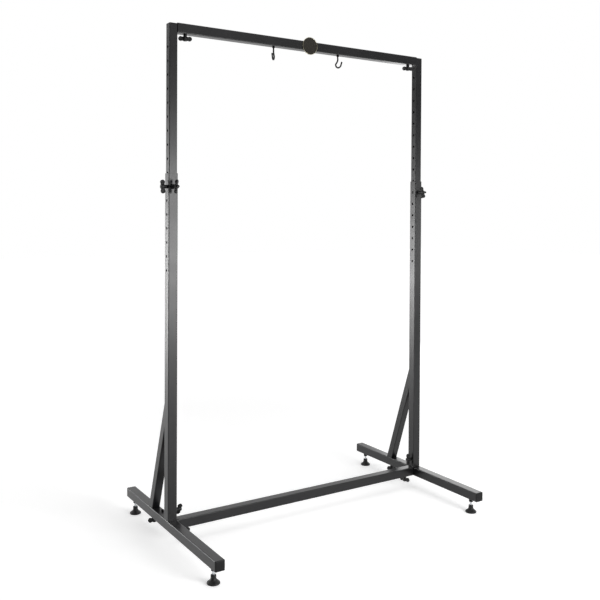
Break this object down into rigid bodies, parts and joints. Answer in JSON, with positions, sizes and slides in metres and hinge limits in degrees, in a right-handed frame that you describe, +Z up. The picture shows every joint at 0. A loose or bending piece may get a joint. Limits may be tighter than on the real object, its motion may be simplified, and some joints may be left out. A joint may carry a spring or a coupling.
{
  "type": "gong stand",
  "caption": "Free-standing black square-tube frame that hangs a large gong between height-adjustable posts on braced legs with levelling feet.",
  "frame": {"origin": "on the floor, under the middle of the stand", "axes": "+X along the crossbar and top bar, -Y to the front where the badge is, +Z up"},
  "size_m": [1.394, 0.897, 2.1435],
  "materials": {
    "frame_coat": "semi-gloss black powder coat on steel tube",
    "end_cap": "black moulded plastic",
    "black_steel": "black finished steel",
    "bright_steel": "bright plated screw thread",
    "foot_plastic": "black moulded plastic",
    "knob_plastic": "black moulded plastic head on a steel screw",
    "badge_face": "dark brown enamel with a thin pale ring"
  },
  "bodies": {
    "base": {"leg_left": "frame_coat", "leg_right": "frame_coat", "leg_cap_front_left": "end_cap", "leg_cap_front_right": "end_cap", "leg_cap_back_left": "end_cap", "leg_cap_back_right": "end_cap", "foot_nut_front_left": "black_steel", "foot_nut_front_right": "black_steel", "foot_nut_back_left": "black_steel", "foot_nut_back_right": "black_steel", "post_stub_left": "frame_coat", "post_stub_right": "frame_coat", "crossbar_stub_left": "frame_coat", "crossbar_stub_right": "frame_coat", "lower_post_left": "frame_coat", "lower_post_right": "frame_coat", "brace_left": "frame_coat", "brace_right": "frame_coat", "brace_nut_left": "black_steel", "brace_nut_right": "black_steel", "clamp_boss_left": "black_steel", "clamp_boss_right": "black_steel", "crossbar": "frame_coat", "leg_screw_left": "black_steel"},
    "upper_frame": {"upper_post_left": "frame_coat", "upper_post_right": "frame_coat", "post_cap_left": "end_cap", "post_cap_right": "end_cap", "bar_stub_left": "frame_coat", "bar_stub_right": "frame_coat", "top_bar": "frame_coat", "badge": "badge_face", "hook_lock_nut_left": "black_steel", "hook_lock_nut_right": "black_steel", "hook_inner_nut_left": "black_steel", "hook_inner_nut_right": "black_steel"},
    "levelling_foot_front_left": {"foot_pad_front_left": "foot_plastic", "foot_spindle_front_left": "bright_steel"},
    "levelling_foot_front_right": {"foot_pad_front_right": "foot_plastic", "foot_spindle_front_right": "bright_steel"},
    "levelling_foot_back_left": {"foot_pad_back_left": "foot_plastic", "foot_spindle_back_left": "bright_steel"},
    "levelling_foot_back_right": {"foot_pad_back_right": "foot_plastic", "foot_spindle_back_right": "bright_steel"},
    "brace_screw_left": {"brace_screw_left": "knob_plastic"},
    "brace_screw_right": {"brace_screw_right": "knob_plastic"},
    "post_screw_left": {"post_screw_left": "knob_plastic"},
    "post_screw_right": {"post_screw_right": "knob_plastic"},
    "crossbar_screw_left": {"crossbar_screw_left": "knob_plastic"},
    "crossbar_screw_right": {"crossbar_screw_right": "knob_plastic"},
    "bar_screw_left": {"bar_screw_left": "knob_plastic"},
    "bar_screw_right": {"bar_screw_right": "knob_plastic"},
    "clamp_screw_left": {"clamp_screw_left": "knob_plastic"},
    "clamp_screw_right": {"clamp_screw_right": "knob_plastic"},
    "height_pin_left": {"height_pin_left": "knob_plastic"},
    "height_pin_right": {"height_pin_right": "knob_plastic"},
    "hook_left": {"hook_left": "black_steel"},
    "hook_right": {"hook_right": "black_steel"}
  },
  "joints": [
    {"name": "height_adjustment", "type": "slide", "parent": "base", "child": "upper_frame", "axis": [0, 0, 1], "range_m": [-0.565, 0.113]},
    {"name": "foot_height_front_left", "type": "slide", "parent": "base", "child": "levelling_foot_front_left", "axis": [0, 0, 1], "range_m": [-0.018, 0.012]},
    {"name": "foot_height_front_right", "type": "slide", "parent": "base", "child": "levelling_foot_front_right", "axis": [0, 0, 1], "range_m": [-0.018, 0.012]},
    {"name": "foot_height_back_left", "type": "slide", "parent": "base", "child": "levelling_foot_back_left", "axis": [0, 0, 1], "range_m": [-0.018, 0.012]},
    {"name": "foot_height_back_right", "type": "slide", "parent": "base", "child": "levelling_foot_back_right", "axis": [0, 0, 1], "range_m": [-0.018, 0.012]},
    {"name": "height_pin_pull_left", "type": "slide", "parent": "base", "child": "height_pin_left", "axis": [-1, 0, 0], "range_m": [0, 0.045]},
    {"name": "height_pin_pull_right", "type": "slide", "parent": "base", "child": "height_pin_right", "axis": [1, 0, 0], "range_m": [0, 0.045]},
    {"name": "clamp_screw_turn_left", "type": "hinge", "parent": "base", "child": "clamp_screw_left", "pos_m": [-0.65, -0.032, 1.4615], "axis": [0, -1, 0], "range_deg": [0, 360]},
    {"name": "clamp_screw_turn_right", "type": "hinge", "parent": "base", "child": "clamp_screw_right", "pos_m": [0.65, -0.032, 1.4615], "axis": [0, -1, 0], "range_deg": [0, 360]},
    {"name": "post_screw_turn_left", "type": "hinge", "parent": "base", "child": "post_screw_left", "pos_m": [-0.63, 0, 0.14], "axis": [1, 0, 0], "range_deg": [0, 360]},
    {"name": "post_screw_turn_right", "type": "hinge", "parent": "base", "child": "post_screw_right", "pos_m": [0.63, 0, 0.14], "axis": [-1, 0, 0], "range_deg": [0, 360]},
    {"name": "crossbar_screw_turn_left", "type": "hinge", "parent": "base", "child": "crossbar_screw_left", "pos_m": [-0.592, 0, 0.064], "axis": [0, 0, -1], "range_deg": [0, 360]},
    {"name": "crossbar_screw_turn_right", "type": "hinge", "parent": "base", "child": "crossbar_screw_right", "pos_m": [0.592, 0, 0.064], "axis": [0, 0, -1], "range_deg": [0, 360]},
    {"name": "brace_screw_turn_left", "type": "hinge", "parent": "base", "child": "brace_screw_left", "pos_m": [-0.65, 0.172, 0.064], "axis": [0, 0, -1], "range_deg": [0, 360]},
    {"name": "brace_screw_turn_right", "type": "hinge", "parent": "base", "child": "brace_screw_right", "pos_m": [0.65, 0.172, 0.064], "axis": [0, 0, -1], "range_deg": [0, 360]},
    {"name": "bar_screw_turn_left", "type": "hinge", "parent": "upper_frame", "child": "bar_screw_left", "pos_m": [-0.592, 0, 2.0845], "axis": [0, 0, -1], "range_deg": [0, 360]},
    {"name": "bar_screw_turn_right", "type": "hinge", "parent": "upper_frame", "child": "bar_screw_right", "pos_m": [0.592, 0, 2.0845], "axis": [0, 0, -1], "range_deg": [0, 360]},
    {"name": "hook_swivel_left", "type": "hinge", "parent": "upper_frame", "child": "hook_left", "pos_m": [-0.172, 0, 2.0845], "axis": [0, 0, 1], "range_deg": [-180, 180]},
    {"name": "hook_swivel_right", "type": "hinge", "parent": "upper_frame", "child": "hook_right", "pos_m": [0.172, 0, 2.0845], "axis": [0, 0, 1], "range_deg": [-180, 180]}
  ]
}
